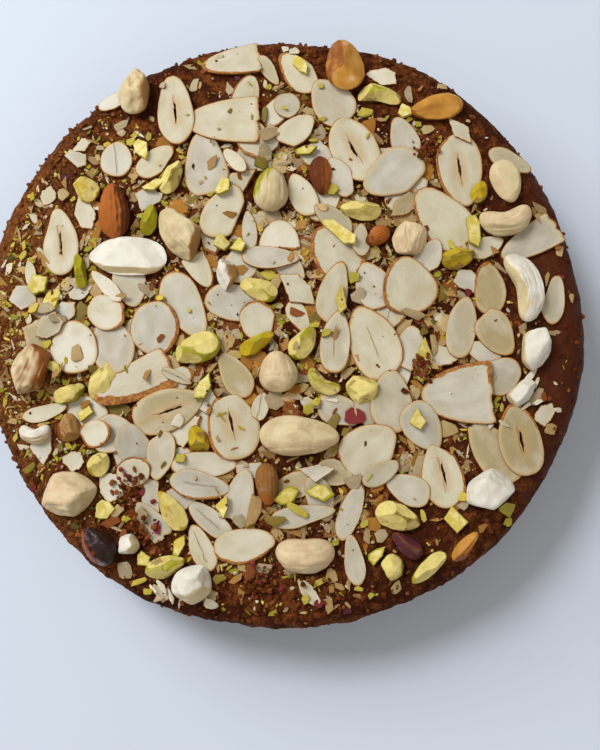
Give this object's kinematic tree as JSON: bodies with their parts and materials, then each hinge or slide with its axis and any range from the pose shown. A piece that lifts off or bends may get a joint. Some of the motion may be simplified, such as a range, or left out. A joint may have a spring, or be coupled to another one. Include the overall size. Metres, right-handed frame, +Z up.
{
  "type": "jaggery cake",
  "caption": "Round uncut jaggery cake with a dark crumbly crust, its nearly flat top strewn with sliced almonds, almond pieces, cashews and pistachios.",
  "frame": {"origin": "middle of the flat base, on the surface that the cake stands on", "axes": "+Z up through the middle of the cake; +X to the right and +Y to the top of the picture"},
  "size_m": [0.2006, 0.199, 0.0519],
  "materials": {
    "crust": "dark brown baked crust, crumbly, a little glossy at the rim",
    "almond": "cut almond, smooth and creamy white",
    "golden_almond": "toasted almond, golden and slightly shiny",
    "almond_skin": "red-brown ridged almond skin",
    "cashew": "cashew, cream and waxy",
    "pistachio": "pistachio, yellow-green with a pale inside",
    "raisin": "wrinkled and glossy, nearly black"
  },
  "bodies": {
    "root": {"almond_chunk_1": "almond", "almond_chunk_2": "almond", "almond_chunk_3": "almond", "almond_chunk_4": "almond", "almond_chunk_5": "almond", "almond_chunk_6": "almond", "almond_chunk_7": "almond", "almond_half_1": "almond", "almond_half_2": "almond", "cake_body": "crust", "cashew_1": "cashew", "cashew_10": "cashew", "cashew_11": "cashew", "cashew_2": "cashew", "cashew_3": "cashew", "cashew_4": "cashew", "cashew_5": "cashew", "cashew_6": "cashew", "cashew_7": "cashew", "cashew_8": "cashew", "cashew_9": "cashew", "golden_almond_1": "golden_almond", "golden_almond_2": "golden_almond", "golden_almond_3": "golden_almond", "golden_almond_4": "golden_almond", "pistachio_1": "pistachio", "pistachio_10": "pistachio", "pistachio_11": "pistachio", "pistachio_12": "pistachio", "pistachio_13": "pistachio", "pistachio_14": "pistachio", "pistachio_15": "pistachio", "pistachio_16": "pistachio", "pistachio_17": "pistachio", "pistachio_18": "pistachio", "pistachio_19": "pistachio", "pistachio_2": "pistachio", "pistachio_20": "pistachio", "pistachio_21": "pistachio", "pistachio_22": "pistachio", "pistachio_23": "pistachio", "pistachio_24": "pistachio", "pistachio_3": "pistachio", "pistachio_4": "pistachio", "pistachio_5": "pistachio", "pistachio_6": "pistachio", "pistachio_7": "pistachio", "pistachio_8": "pistachio", "pistachio_9": "pistachio", "raisin_1": "raisin", "skin_almond_1": "almond_skin", "skin_almond_2": "almond_skin", "skin_almond_3": "almond_skin", "skin_almond_4": "almond_skin"}
  },
  "joints": []
}
